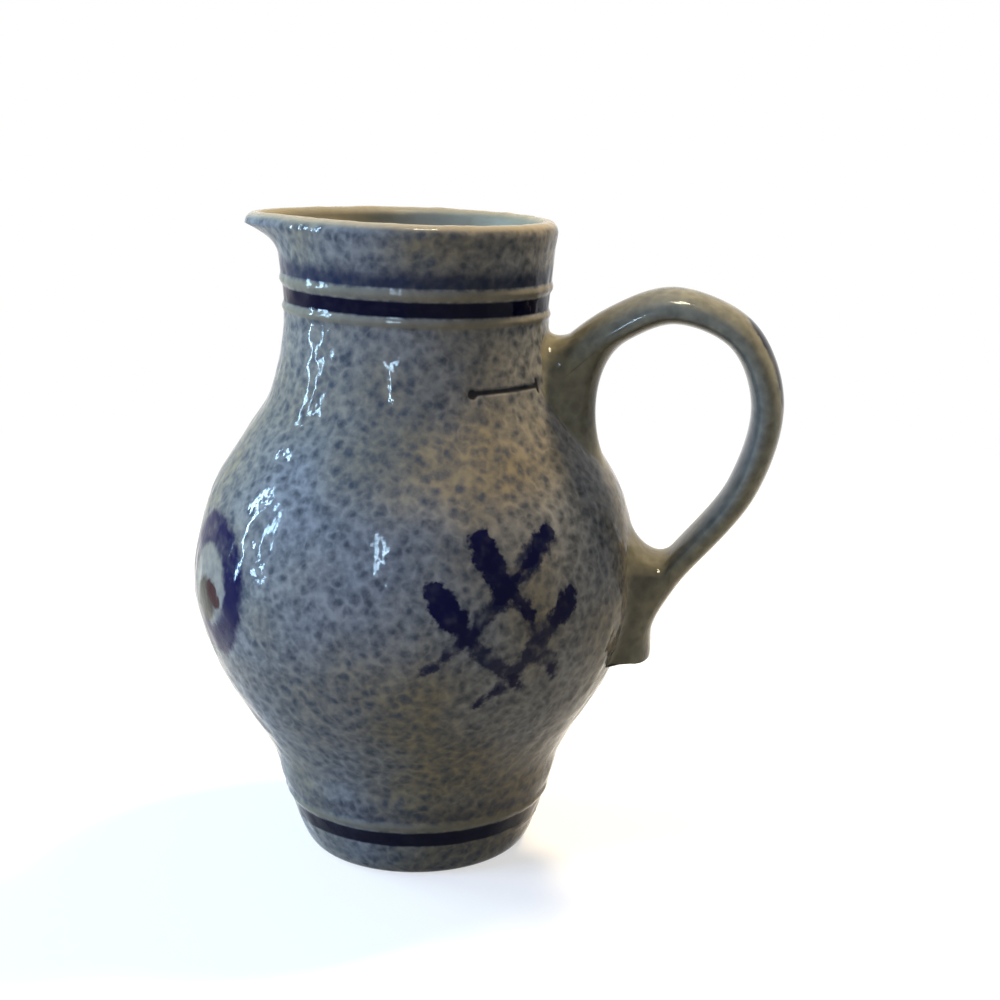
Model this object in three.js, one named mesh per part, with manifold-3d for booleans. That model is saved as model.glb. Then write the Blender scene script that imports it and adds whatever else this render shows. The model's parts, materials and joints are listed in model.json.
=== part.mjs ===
// Salt-glazed stoneware jug: a thrown body with a pulled spout, and a strap handle luted to it.
// Millimetres, +Z up. The origin is the middle of the underside, +X points to the handle, -X to the spout.
import * as THREE from "three";
import { mergeVertices } from "three/addons/utils/BufferGeometryUtils.js";
import Module from "manifold-3d";

// Body: outer radii from the underside to the rim
const baseRadius = 19.6; // flat underside
const footRadius = 22.8;
const flareRadius = 26.2;
const waistRadius = 28.4;
const lowerRadius = 37.1;
const bellyRadius = 41.5;
const upperRadius = 38.4;
const shoulderRadius = 32.1;
const slopeRadius = 26.8;
const neckRadius = 24.1;
const collarRadius = 24.9;
const rimRadius = 25.6;

// Body: rises, each counted from the level below it
const footRise = 4.4;
const flareRise = 9.9;
const waistRise = 6.7;
const lowerRise = 15.0;
const bellyRise = 15.5;
const upperRise = 16.3;
const shoulderRise = 10.7;
const slopeRise = 8.6;
const neckRise = 12.4;
const collarRise = 12.0;
const lipRise = 5.1; // up to the lip's widest line

// Body: clay thickness and the inside of the floor
const wall = 4.0;
const floorThickness = 5.0;
const floorRound = 5.0; // rise of the rounded corner between floor and wall

// Thrown ridges that border the two painted bands
const ridgeProud = 0.35;
const ridgeHeight = 1.6;
const footBand = 3.2; // clear height between the two ridges of the foot
const neckBand = 3.3;
const footBandRise = 3.5; // middle of the band above the foot's level
const neckBandRise = 5.0; // middle of the band above the neck's level

// Spout, pulled out of the rim
const spoutReach = 6.6;
const spoutDepth = 7.5; // how far down the neck the pull reaches
const spoutSag = 1.0; // how much the tip lies below the rim
const spoutSpread = 24; // degrees to each side where the pull has faded to a third

// Handle: middle line of the strap, from its roots on the body
const upperRootRise = 4.0; // middle of the upper root above the slope's level
const archRadius = 17.0; // the round of the arch
const archOut = 22.8; // middle of the arch's round, out from the neck
const archDrop = 4.6; // the same point below the upper root
const bendOut = 18.4; // where the strap has turned back, out from the belly
const bendRise = 18.9; // the same point above the belly's level
const sweepOut = 5.2; // where it swings down to the belly
const sweepRise = 1.9;
const tailDrop = 13.2; // cut end of the tail below the belly's level
const tailProud = 1.8; // middle of the pressed tail above the clay it lies on
const tailKick = 1.9; // how much further the cut end stands off

// Handle: section of the strap
const rootThickness = 7.4;
const strapThickness = 5.8;
const tailThickness = 5.2;
const strapWidth = 14.5;
const tailWidth = 15.0;

// Luting: soft clay smoothed into fillets round the handle's two joints
const upperFilletRun = 11.0; // how far along the strap it reaches from the neck
const upperFilletTopRun = 4.0; // the same over the strap
const upperFilletTop = 2.6; // growth over, under and beside the strap at the neck
const upperFilletBelow = 9.0;
const upperFilletSide = 2.6;
const lowerFilletRun = 8.0; // how far up the strap it reaches from where that swings down
const lowerFilletInside = 3.0; // growth under the strap where that swings down
const lowerFilletSide = 5.3; // growth beside the tail
const lowerFilletEnd = 3.0; // how much of the tail stays clear of it
const slipFilm = 0.3; // clearance between pieces, where slip joins them

// Fineness of the facets
const turns = 60;
const outerSteps = 3; // steps between two levels of the body, outside and inside
const innerSteps = 2;
const roundSteps = 4; // steps of a rounded corner
const lipSteps = 6;
const strapSteps = 48;
const strapSides = 16;

const wasm = await Module();
wasm.setup();
const { clamp, degToRad, lerp, smoothstep } = THREE.MathUtils;

// Levels of the body as points (radius, height), each standing on the one below
const levels = [];
for (const [radius, rise] of [
  [footRadius, footRise],
  [flareRadius, flareRise],
  [waistRadius, waistRise],
  [lowerRadius, lowerRise],
  [bellyRadius, bellyRise],
  [upperRadius, upperRise],
  [shoulderRadius, shoulderRise],
  [slopeRadius, slopeRise],
  [neckRadius, neckRise],
  [collarRadius, collarRise],
  [rimRadius, lipRise],
]) {
  const below = levels.length ? levels[levels.length - 1].y : 0;
  levels.push(new THREE.Vector2(radius, below + rise));
}
const [foot, , , , belly, , , slope, neck, , lip] = levels;
const side = new THREE.SplineCurve(levels);

// The outer radius of the smooth body at a height, found by halving along the side's curve.
function radiusAt(height) {
  let low = 0;
  let high = 1;
  for (let i = 0; i < 40; i++) {
    const middle = (low + high) / 2;
    if (side.getPoint(middle).y < height) low = middle;
    else high = middle;
  }
  return side.getPoint(low).x;
}

// A point of the body's side moved along its normal: outwards for a positive distance.
function offsetPoint(height, distance) {
  const step = 0.05;
  const slant = (radiusAt(height + step) - radiusAt(height - step)) / (2 * step);
  const length = Math.hypot(1, slant);
  return new THREE.Vector2(radiusAt(height) + distance / length, height - (distance * slant) / length);
}

// Middle heights of the four thrown ridges
const ridges = [];
for (const [middle, band] of [
  [foot.y + footBandRise, footBand],
  [neck.y + neckBandRise, neckBand],
]) {
  const away = (band + ridgeHeight) / 2;
  ridges.push(middle - away, middle + away);
}

// Heights at which the side is sampled: even steps between levels.
function sideHeights(steps) {
  const heights = [];
  for (let i = 1; i < levels.length; i++) {
    const [below, above] = [levels[i - 1].y, levels[i].y];
    for (let k = 0; k < steps; k++) heights.push(lerp(below, above, k / steps));
  }
  return heights;
}

// The outer outline from the axis, over the underside and the rounded foot, up past the ridges to the lip.
function outerOutline() {
  const keep = 0.75 * ridgeHeight; // no other row comes nearer to a ridge's middle
  const clear = (height) => ridges.every((middle) => Math.abs(height - middle) > keep);
  const rows = sideHeights(outerSteps)
    .filter(clear)
    .map((height) => [height, 0]);
  for (const middle of ridges) {
    rows.push([middle - ridgeHeight / 2, 0], [middle, ridgeProud], [middle + ridgeHeight / 2, 0]);
  }
  rows.sort((a, b) => a[0] - b[0]);
  const start = new THREE.Vector2(radiusAt(rows[0][0]), rows[0][0]);
  const corner = new THREE.Vector2((baseRadius + start.x) / 2, 0);
  const edge = new THREE.QuadraticBezierCurve(new THREE.Vector2(baseRadius, 0), corner, start);
  const points = [new THREE.Vector2(0, 0), ...edge.getPoints(roundSteps).slice(0, -1)];
  for (const [height, lift] of rows) points.push(new THREE.Vector2(radiusAt(height) + lift, height));
  return points;
}

// The half round lip, as thick as the wall, from outside to inside.
function lipOutline() {
  const points = [];
  for (let i = 0; i <= lipSteps; i++) {
    const turn = (Math.PI * i) / lipSteps;
    const out = lip.x - wall / 2 + (wall / 2) * Math.cos(turn);
    points.push(new THREE.Vector2(out, lip.y + (wall / 2) * Math.sin(turn)));
  }
  return points;
}

// The inside from the lip down to the floor's middle.
function innerOutline() {
  const points = [];
  const top = lip.y - lipRise / 2;
  const bottom = floorThickness + floorRound;
  for (const height of sideHeights(innerSteps).reverse()) {
    const point = offsetPoint(height, -wall);
    if (point.y < top && point.y > bottom) points.push(point);
  }
  const start = new THREE.Vector2(offsetPoint(bottom, -wall).x, bottom);
  const corner = new THREE.Vector2(start.x, floorThickness);
  const end = new THREE.Vector2(start.x - floorRound, floorThickness);
  points.push(...new THREE.QuadraticBezierCurve(start, corner, end).getPoints(roundSteps));
  points.push(new THREE.Vector2(0, floorThickness));
  return points;
}

// Turns an outline of radius and height round the upright axis.
function turned(outline) {
  return new THREE.LatheGeometry(outline, turns).rotateX(Math.PI / 2);
}

// Pulls the rim out to a beak towards -X: the pull fades to both sides and down the neck.
function pullSpout(geometry) {
  const fade = 1.85; // how quickly the pull dies away below the rim
  const rim = lip.y + wall / 2;
  const place = geometry.getAttribute("position");
  for (let i = 0; i < place.count; i++) {
    const [x, y, z] = [place.getX(i), place.getY(i), place.getZ(i)];
    const up = clamp((z - rim + spoutDepth) / spoutDepth, 0, 1);
    const away = Math.atan2(y, -x) / degToRad(spoutSpread);
    const pull = Math.pow(up, fade) * Math.exp(-away * away);
    const radius = Math.hypot(x, y);
    const stretch = radius > 0 ? 1 + (spoutReach * pull) / radius : 1;
    place.setXYZ(i, x * stretch, y * stretch, z - spoutSag * pull);
  }
  return geometry;
}

// A closed three.js geometry as a solid that can be cut and joined.
function solidOf(geometry) {
  const bare = new THREE.BufferGeometry();
  bare.setAttribute("position", geometry.getAttribute("position"));
  if (geometry.index) bare.setIndex(geometry.index);
  const merged = mergeVertices(bare, 1e-4);
  const triVerts = new Uint32Array(merged.index.array);
  return new wasm.Manifold(
    new wasm.Mesh({ numProp: 3, vertProperties: merged.getAttribute("position").array, triVerts }),
  );
}

// A solid back as a three.js geometry.
function geometryOf(solid) {
  const { vertProperties, triVerts } = solid.getMesh();
  const geometry = new THREE.BufferGeometry();
  geometry.setAttribute("position", new THREE.BufferAttribute(vertProperties, 3));
  geometry.setIndex(new THREE.BufferAttribute(triVerts, 1));
  geometry.computeVertexNormals();
  return geometry;
}

// The body as one full solid without its hollow, grown by the slip's film, for cutting what lies on it.
function grownBody() {
  const points = [new THREE.Vector2(0, -slipFilm)];
  for (const { x, y } of outerOutline().slice(1)) points.push(new THREE.Vector2(x + slipFilm, y));
  points.push(new THREE.Vector2(lip.x + slipFilm, lip.y));
  points.push(new THREE.Vector2(0, lip.y));
  return solidOf(turned(points));
}

// Where the handle's ends sit on the body
const upperRoot = new THREE.Vector3(radiusAt(slope.y + upperRootRise), 0, slope.y + upperRootRise);
const sweep = new THREE.Vector3(belly.x + sweepOut, 0, belly.y + sweepRise);
const tailEnd = belly.y - tailDrop;

// The strap's middle line: up out of the neck, over a round arch, down and back to lie on the belly.
function strapCurve() {
  const sunk = rootThickness * Math.SQRT1_2; // the start lies this deep, so that the cut end is full
  const points = [
    new THREE.Vector3(upperRoot.x - sunk, 0, upperRoot.z - sunk),
    new THREE.Vector3(upperRoot.x, 0, upperRoot.z),
  ];
  const middle = new THREE.Vector3(neck.x + archOut, 0, upperRoot.z - archDrop);
  for (const degrees of [130, 90, 45, 0]) {
    const spoke = new THREE.Vector3(Math.cos(degToRad(degrees)), 0, Math.sin(degToRad(degrees)));
    points.push(spoke.multiplyScalar(archRadius).add(middle));
  }
  points.push(new THREE.Vector3(belly.x + bendOut, 0, belly.y + bendRise));
  points.push(sweep);
  const lying = belly.y - tailDrop / 2;
  points.push(new THREE.Vector3(radiusAt(lying) + tailProud, 0, lying));
  points.push(new THREE.Vector3(radiusAt(tailEnd) + tailProud + tailKick, 0, tailEnd));
  return new THREE.CatmullRomCurve3(points);
}
const strapLine = strapCurve();

// The strap's half sizes at a share of its way: inside and outside of the bend, and to each side.
function strapSection(share) {
  const slim = 0.45; // the root has thinned to the strap here
  const [thinning, flat] = [0.5, 0.8]; // the strap thins to the tail between these
  const [spreading, spread] = [0.65, 0.9]; // and widens between these
  const rooted = lerp(rootThickness, strapThickness, Math.min(share / slim, 1));
  const half = lerp(rooted, tailThickness, smoothstep(share, thinning, flat)) / 2;
  const wide = lerp(strapWidth, tailWidth, smoothstep(share, spreading, spread)) / 2;
  return { inside: half, outside: half, wide };
}

// A closed body of rounded sections carried along the strap's line between two of its steps.
function carried(first, last, section) {
  const squareness = 2.5; // 2 is an oval, more is fuller at the corners
  const full = (wave) => Math.sign(wave) * Math.pow(Math.abs(wave), 2 / squareness);
  const points = [];
  const faces = [];
  const ring = (step, k) => (step - first) * strapSides + (k % strapSides);
  for (let step = first; step <= last; step++) {
    const share = step / strapSteps;
    const middle = strapLine.getPointAt(share);
    const along = strapLine.getTangentAt(share);
    const { inside, outside, wide } = section(share);
    for (let k = 0; k < strapSides; k++) {
      const turn = (2 * Math.PI * k) / strapSides;
      const wave = full(Math.cos(turn));
      const out = wave * (wave > 0 ? inside : outside);
      points.push(middle.x + along.z * out, wide * full(Math.sin(turn)), middle.z - along.x * out);
    }
  }
  for (let step = first; step < last; step++) {
    for (let k = 0; k < strapSides; k++) {
      faces.push(ring(step, k), ring(step, k + 1), ring(step + 1, k + 1));
      faces.push(ring(step, k), ring(step + 1, k + 1), ring(step + 1, k));
    }
  }
  for (let k = 1; k < strapSides - 1; k++) {
    faces.push(ring(first, 0), ring(first, k + 1), ring(first, k));
    faces.push(ring(last, 0), ring(last, k), ring(last, k + 1));
  }
  const geometry = new THREE.BufferGeometry();
  geometry.setAttribute("position", new THREE.Float32BufferAttribute(points, 3));
  geometry.setIndex(faces);
  return solidOf(geometry);
}

// The strap with every side moved out by a distance.
function strap(grown) {
  return carried(0, strapSteps, (share) => {
    const { inside, outside, wide } = strapSection(share);
    return { inside: inside + grown, outside: outside + grown, wide: wide + grown };
  });
}

// The step of the strap nearest to a length along its line.
function stepAt(length) {
  return clamp(Math.round((length / strapLine.getLength()) * strapSteps), 0, strapSteps);
}

// Length along the strap's line to the step that comes closest to a point.
function lengthTo(point) {
  const away = (step) => strapLine.getPointAt(step / strapSteps).distanceTo(point);
  let best = 0;
  for (let step = 1; step <= strapSteps; step++) {
    if (away(step) < away(best)) best = step;
  }
  return (strapLine.getLength() * best) / strapSteps;
}

// Luting clay: the strap's section grown by a fillet between two lengths, less the body and the strap.
function luting(from, to, fillet) {
  const clay = carried(stepAt(from), stepAt(to), (share) => {
    const { inside, outside, wide } = strapSection(share);
    const grown = fillet(share * strapLine.getLength());
    return { inside: inside + grown.inside, outside: outside + grown.outside, wide: wide + grown.wide };
  });
  return clay.subtract(grownBody()).subtract(strap(slipFilm));
}
const filletEdge = 2 * slipFilm; // a fillet's thin edge still stands this far over the strap

// How much of a fillet is left at a distance from its thick end: it thins in a hollow curve.
function hollow(distance, run) {
  return Math.pow(1 - clamp(distance / run, 0, 1), 2);
}

// Upper fillet: thickest under the strap, where the root runs down into the neck.
function upperLuting() {
  const surface = lengthTo(upperRoot);
  return luting(0, surface + upperFilletRun, (length) => {
    const left = hollow(length - surface, upperFilletRun);
    return {
      inside: filletEdge + upperFilletBelow * left,
      outside: upperFilletTop * hollow(length - surface, upperFilletTopRun) - filletEdge,
      wide: filletEdge + upperFilletSide * left,
    };
  });
}

// Lower fillet: fills the corner under the strap and spreads beside the tail, lower than its outer face.
function lowerLuting() {
  const landing = lengthTo(sweep);
  const start = landing - lowerFilletRun;
  const end = strapLine.getLength() - lowerFilletEnd;
  return luting(start, end, (length) => {
    const swell = Math.sin((Math.PI * (length - start)) / (end - start));
    return {
      inside: filletEdge + lowerFilletInside * hollow(landing - length, lowerFilletRun),
      outside: -filletEdge,
      wide: filletEdge + lowerFilletSide * swell * swell,
    };
  });
}

// Surfaces: grey salt glaze, with the handle and its joints a little smoother
function glaze(color, roughness) {
  return new THREE.MeshStandardMaterial({ color, roughness, metalness: 0 });
}

const jug = new THREE.Group();
function add(name, geometry, material) {
  const mesh = new THREE.Mesh(geometry, material);
  mesh.name = name;
  jug.add(mesh);
}

const bodyOutline = [...outerOutline(), ...lipOutline(), ...innerOutline()];
add("jug_body", pullSpout(turned(bodyOutline)), glaze("#84837f", 0.3));
add("handle", geometryOf(strap(0).subtract(grownBody())), glaze("#8b867b", 0.25));
add("upper_luting", geometryOf(upperLuting()), glaze("#87837a", 0.25));
add("lower_luting", geometryOf(lowerLuting()), glaze("#87837a", 0.25));

export default jug;
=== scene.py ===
# A salt-glazed stoneware jug with a pulled spout and a strap handle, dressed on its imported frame
import itertools
import json
import math

import bpy
import numpy as np
from mathutils import Matrix, Vector

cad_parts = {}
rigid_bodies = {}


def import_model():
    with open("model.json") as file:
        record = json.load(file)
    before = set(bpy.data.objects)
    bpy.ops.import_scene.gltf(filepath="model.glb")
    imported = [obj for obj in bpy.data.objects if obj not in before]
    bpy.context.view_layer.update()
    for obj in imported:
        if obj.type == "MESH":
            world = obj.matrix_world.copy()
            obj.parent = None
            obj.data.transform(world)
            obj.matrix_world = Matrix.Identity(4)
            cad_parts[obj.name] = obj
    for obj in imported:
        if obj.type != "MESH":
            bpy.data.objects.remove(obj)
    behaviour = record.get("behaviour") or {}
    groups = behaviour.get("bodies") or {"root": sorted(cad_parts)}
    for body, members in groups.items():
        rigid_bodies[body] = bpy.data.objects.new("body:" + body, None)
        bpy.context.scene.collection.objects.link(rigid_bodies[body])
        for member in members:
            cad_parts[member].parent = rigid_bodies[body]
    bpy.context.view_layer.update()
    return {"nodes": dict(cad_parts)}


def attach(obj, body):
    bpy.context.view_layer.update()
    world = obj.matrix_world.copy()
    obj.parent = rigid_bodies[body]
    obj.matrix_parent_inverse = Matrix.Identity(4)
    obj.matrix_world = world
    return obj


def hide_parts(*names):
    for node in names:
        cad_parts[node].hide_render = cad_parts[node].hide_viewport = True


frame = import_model()
mm = 0.001  # sizes below are in millimetres and meshes are in metres
print("frame: nodes", sorted(frame["nodes"]))

# The photograph's camera, found from the jug's outline

photoCamera = {
    "away": 308.0,  # from the jug's axis
    "height": 137.5,
    "turn": 10.0,  # degrees that the handle is turned towards the camera
    "yaw": 2.88,
    "pitch": 13.07,
    "roll": 0.56,
    "focal": 1687.0,  # in pixels
    "frame": 1000.0,  # pixels across the picture
    "sensor": 36.0,
    "nearest": 10.0,  # nothing closer is drawn
}


def makeCamera(c):
    # forward is turned aside by yaw and down by pitch, right and up then roll about it
    yaw, pitch, roll, turn = (math.radians(c[k]) for k in ("yaw", "pitch", "roll", "turn"))
    level = math.cos(pitch)
    forward = np.array([math.sin(yaw) * level, math.cos(yaw) * level, -math.sin(pitch)])
    right = np.array([math.cos(yaw), -math.sin(yaw), 0.0])
    up = np.cross(right, forward)
    cosine, sine = math.cos(roll), math.sin(roll)
    right, up = right * cosine + up * sine, up * cosine - right * sine
    place = Matrix.Identity(4)
    for column, axis in enumerate((right, up, -forward, (0, -c["away"] * mm, c["height"] * mm))):
        for row in range(3):
            place[row][column] = axis[row]
    lens = bpy.data.cameras.new("photoCamera")
    lens.sensor_width = c["sensor"]
    lens.lens = c["sensor"] * c["focal"] / c["frame"]
    lens.clip_start = c["nearest"] * mm
    camera = bpy.data.objects.new("photoCamera", lens)
    camera.matrix_world = Matrix.Rotation(turn, 4, "Z") @ place
    bpy.context.scene.collection.objects.link(camera)
    bpy.context.scene.camera = camera


makeCamera(photoCamera)
print("camera: placed")

# Curves, waves and meshes


def splineThrough(points, power, perSpan):
    # Catmull-Rom: each span is a cubic whose end slopes come from the points on both sides of it,
    # with knots that lie a power of the distance apart (0 is even, 0.5 is centripetal)
    p = np.asarray(points, float)
    p = np.vstack([2 * p[0] - p[1], p, 2 * p[-1] - p[-2]])
    gap = np.linalg.norm(np.diff(p, axis=0), axis=1)[:, None] ** power
    a, b, c, d = p[:-3], p[1:-2], p[2:-1], p[3:]
    g0, g1, g2 = gap[:-2], gap[1:-1], gap[2:]
    leave = ((b - a) / g0 - (c - a) / (g0 + g1) + (c - b) / g1) * g1
    arrive = ((c - b) / g1 - (d - b) / (g1 + g2) + (d - c) / g2) * g1
    t = np.linspace(0, 1, perSpan, endpoint=False)[None, :, None]
    b, c, leave, arrive = (v[:, None] for v in (b, c, leave, arrive))
    cubic = 2 * b - 2 * c + leave + arrive
    square = 3 * c - 3 * b - 2 * leave - arrive
    curve = cubic * t**3 + square * t**2 + leave * t + b
    return np.vstack([curve.reshape(-1, p.shape[1]), p[-2]])


def bezier(start, corner, end, steps):
    # quadratic curve from start to end, drawn towards the corner
    t = np.linspace(0, 1, steps)[:, None]
    start, corner, end = (np.asarray(v, float) for v in (start, corner, end))
    return (1 - t) ** 2 * start + 2 * t * (1 - t) * corner + t**2 * end


def hermite(start, leave, end, arrive, steps):
    # cubic strip between two lines of points: it leaves the first along one pull
    # and reaches the second along another
    t = np.linspace(0, 1, steps)[:, None, None]
    return (
        (2 * t**3 - 3 * t**2 + 1) * start
        + (t**3 - 2 * t**2 + t) * leave
        + (3 * t**2 - 2 * t**3) * end
        + (t**3 - t**2) * arrive
    )


def smoothStep(low, high, x):
    # 0 up to low and 1 from high on, eased between them
    t = np.clip((x - low) / (high - low), 0, 1)
    return t * t * (3 - 2 * t)


def waves(p, size, seed):
    # smooth random swelling from -1 to 1: values on a lattice of that size, blended with eased weights
    cell = np.floor(p / size)
    f = p / size - cell
    f = f * f * (3 - 2 * f)
    total = np.zeros(p.shape[:-1])
    for corner in itertools.product((0, 1), repeat=3):
        value = np.sin((cell + corner) @ np.array([127.1, 311.7, 74.7]) + seed) * 43758.5453
        total += (value - np.floor(value)) * np.prod(np.where(corner, f, 1 - f), axis=-1)
    return 2 * total - 1


def unit(v):
    return v / np.linalg.norm(v, axis=-1, keepdims=True)


def gridPiece(name, points, startPole=None, endPole=None, closeRows=False):
    # a mesh of rows of points, each row closed round; a pole closes the first or last row to one point
    rows, around = points.shape[:2]
    index = np.arange(rows * around).reshape(rows, around)
    lower = index if closeRows else index[:-1]
    upper = np.roll(index, -1, 0) if closeRows else index[1:]
    quads = np.stack([lower, np.roll(lower, -1, 1), np.roll(upper, -1, 1), upper], -1).reshape(-1, 4)
    triangles = np.empty((0, 3), int)
    places = [points.reshape(-1, 3)]
    for pole, row, step in ((startPole, index[0], 1), (endPole, index[-1], -1)):
        if pole is not None:
            tip = np.full(around, sum(map(len, places)))
            triangles = np.vstack([triangles, np.stack([np.roll(row, -step), row, tip], -1)])
            places.append(np.reshape(pole, (1, 3)))
    place = np.vstack(places)
    a, b, c = np.vstack([quads[:, :3], quads[:, [0, 2, 3]], triangles]).T
    volume = np.einsum("ij,ij->", place[a], np.cross(place[b], place[c]))
    turned = -1 if volume < 0 else 1  # faces point outwards when they enclose a positive volume
    faces = quads[:, ::turned].tolist() + triangles[:, ::turned].tolist()
    mesh = bpy.data.meshes.new(name)
    mesh.from_pydata((place * mm).tolist(), [], faces)
    mesh.shade_smooth()
    piece = bpy.data.objects.new(name, mesh)
    bpy.context.scene.collection.objects.link(piece)
    return piece


def addField(piece, name, values):
    # a number at each vertex for the glaze to read; poles take the mean of the row beside them
    field = np.full(len(piece.data.vertices), float(np.mean(values[0])))
    field[: values.size] = values.ravel()
    if len(field) > values.size:
        field[-1] = float(np.mean(values[-1]))
    attribute = piece.data.attributes.new(name, "FLOAT", "POINT")
    attribute.data.foreach_set("value", field.astype(np.float32))


# Side of the thrown body, with the same sizes as the solid

bodySizes = {
    "levels": (  # outer radius, and rise above the level below
        (22.8, 4.4),  # foot
        (26.2, 9.9),
        (28.4, 6.7),
        (37.1, 15.0),
        (41.5, 15.5),  # belly
        (38.4, 16.3),
        (32.1, 10.7),
        (26.8, 8.6),
        (24.1, 12.4),  # neck
        (24.9, 12.0),
        (25.6, 5.1),  # lip
    ),
    "base": 19.6,  # radius of the flat underside
    "footTop": 4.7,  # height of the rounded edge above it
    "wall": 4.0,
    "floor": 5.0,
    "floorRound": 5.0,
    "ridges": (  # height of the middle, width and rise of the thrown ridges
        (6.1, 1.5, 0.06),
        (10.9, 2.6, 0.28),
        (102.0, 2.4, 0.36),
        (106.8, 2.6, 0.40),
    ),
    "bands": ((6.7, 9.9), (102.9, 105.8)),  # painted between them
    "neckLean": (0.7, 92.0, 101.0),  # drop towards the handle, and heights between which it sets in
    "spoutReach": 5.9,
    "spoutDepth": 7.5,
    "spoutLip": 2.0,  # height of the rim that is drawn out whole
    "spoutSag": 0.3,
    "spoutSpread": 25.0,  # degrees
    "spoutFade": 1.85,
    "around": 352,
    "sideRows": 208,
    "ridgeRows": (1.9, 1.2),  # how near to a ridge the rows draw together, and how much
    "otherRows": {"under": 8, "edge": 11, "lip": 15, "inside": 28, "corner": 8, "ground": 6},
    "poleRow": 2.0,  # radius of the row next to the middle of the underside and of the floor
    "insideTop": 1.0,  # how far under the lip's middle the straight inside starts
    "thinRise": 0.30,  # a ridge that rises so much has the glaze run thin over it
    "washes": ((3, 1.0), (1, 0.45)),  # ridges with a wash of cobalt above them, and its strength
    "washStart": (-0.5, 0.2),  # heights above the ridge between which the wash sets in
    "washFade": (0.6, 4.6),  # and fades out
    "crest": 1.0,  # half the height of the rim's worn crest
    "withinEdge": (0.45, 0.9),  # shares of the way over the lip between which the inner glaze sets in
    "handWave": (16.0, 0.12, 1.0),  # size, height and seed of the unevenness left by the thrower's hand
    "peelWave": (2.4, 0.115, 2.0),  # and of the salt glaze's orange peel
}
levelRise = np.array(bodySizes["levels"])
levelLine = splineThrough(np.column_stack([levelRise[:, 0], np.cumsum(levelRise[:, 1])]), 0, 80)
lipRadius, lipHeight = levelLine[-1]
rimHeight = lipHeight + bodySizes["wall"] / 2
noMark = -9.0  # a distance to a mark's edge that stands for none nearby


def sideRadius(z):
    # outer radius of the smooth body at a height
    return np.interp(z, levelLine[:, 1], levelLine[:, 0])


def onBody(arc, z):
    # the point of the body that lies this far round from the handle's middle, at a height
    r = sideRadius(z)
    return np.stack([r * np.cos(arc / r), r * np.sin(arc / r), z + 0 * r], -1)


def leanNeck(p):
    # the neck as it came off the wheel: lower towards the handle, higher towards the spout
    lean, low, high = bodySizes["neckLean"]
    x, y, z = np.moveaxis(p, -1, 0)
    return np.stack([x, y, z - lean * x / np.hypot(x, y) * smoothStep(low, high, z)], -1)


def ridgeLift(z):
    # rounded beads: a raised cosine over each ridge's width
    middle, width, proud = np.array(bodySizes["ridges"]).T
    away = np.abs(np.asarray(z)[..., None] - middle) / width
    return (proud * np.where(away < 0.5, 0.5 + 0.5 * np.cos(2 * np.pi * away), 0)).sum(-1)


fillLine = {
    "height": 90.1,
    "from": -58.6,  # degrees round from the handle, towards the camera
    "to": -25.0,
    "half": 0.52,  # half the width of the scratched line
    "depth": 0.30,
    "groove": (-0.15, 0.45),  # distances inside its edge between which it deepens
    "dot": 0.95,  # radius of the pressed dot at its left end
    "dotDrop": 0.2,
    "tick": 0.95,  # half the height of the upright tick at its right end
    "rows": (1.2, 1.6),  # how near to it the body's rows draw together, and how much
}


def sideHeights():
    # rows close together at the ridges and the scratched line, wider apart elsewhere
    b = bodySizes
    z = np.linspace(b["footTop"], lipHeight, 4000)
    density = np.ones_like(z)
    crowded = [(middle, *b["ridgeRows"]) for middle, _, _ in b["ridges"]]
    crowded.append((fillLine["height"], *fillLine["rows"]))
    for middle, reach, gain in crowded:
        density += gain * np.exp(-(((z - middle) / reach) ** 4))
    way = np.concatenate([[0], np.cumsum((density[1:] + density[:-1]) / 2)])
    return np.interp(np.linspace(0, way[-1], b["sideRows"]), way, z)


def bodyOutline():
    # radius and height from the underside's middle, round the foot, up the side, over the lip
    # and down to the floor's middle, with the name of the part that each point is on
    b = bodySizes
    rows = b["otherRows"]
    heights = sideHeights()
    start = np.array([sideRadius(heights[0]), heights[0]])
    under = np.linspace(b["poleRow"], b["base"], rows["under"])
    turn = np.linspace(0, np.pi, rows["lip"])[1:]
    half = b["wall"] / 2
    slope = np.gradient(levelLine[:, 0], levelLine[:, 1])
    inward = np.column_stack([-np.ones_like(slope), slope]) / np.hypot(1, slope)[:, None]
    inner = levelLine + b["wall"] * inward
    inner = inner[np.argsort(inner[:, 1])]
    down = np.linspace(lipHeight - b["insideTop"], b["floor"] + b["floorRound"], rows["inside"])
    inside = np.column_stack([np.interp(down, inner[:, 1], inner[:, 0]), down])
    last = inside[-1, 0]
    landing = last - b["floorRound"]  # radius at which the inside's round corner meets the floor
    ground = np.linspace(landing, b["poleRow"], rows["ground"])[1:]
    parts = {
        "under": np.column_stack([under, 0 * under]),
        "edge": bezier((b["base"], 0), ((b["base"] + start[0]) / 2, 0), start, rows["edge"])[1:-1],
        "side": np.column_stack([sideRadius(heights), heights]),
        "lip": np.column_stack([lipRadius - half + half * np.cos(turn), lipHeight + half * np.sin(turn)]),
        "inside": inside,
        "corner": bezier(inside[-1], (last, b["floor"]), (landing, b["floor"]), rows["corner"])[1:],
        "ground": np.column_stack([ground, 0 * ground + b["floor"]]),
    }
    kind = np.repeat(list(parts), [len(part) for part in parts.values()])
    return np.vstack(list(parts.values())), kind


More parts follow.
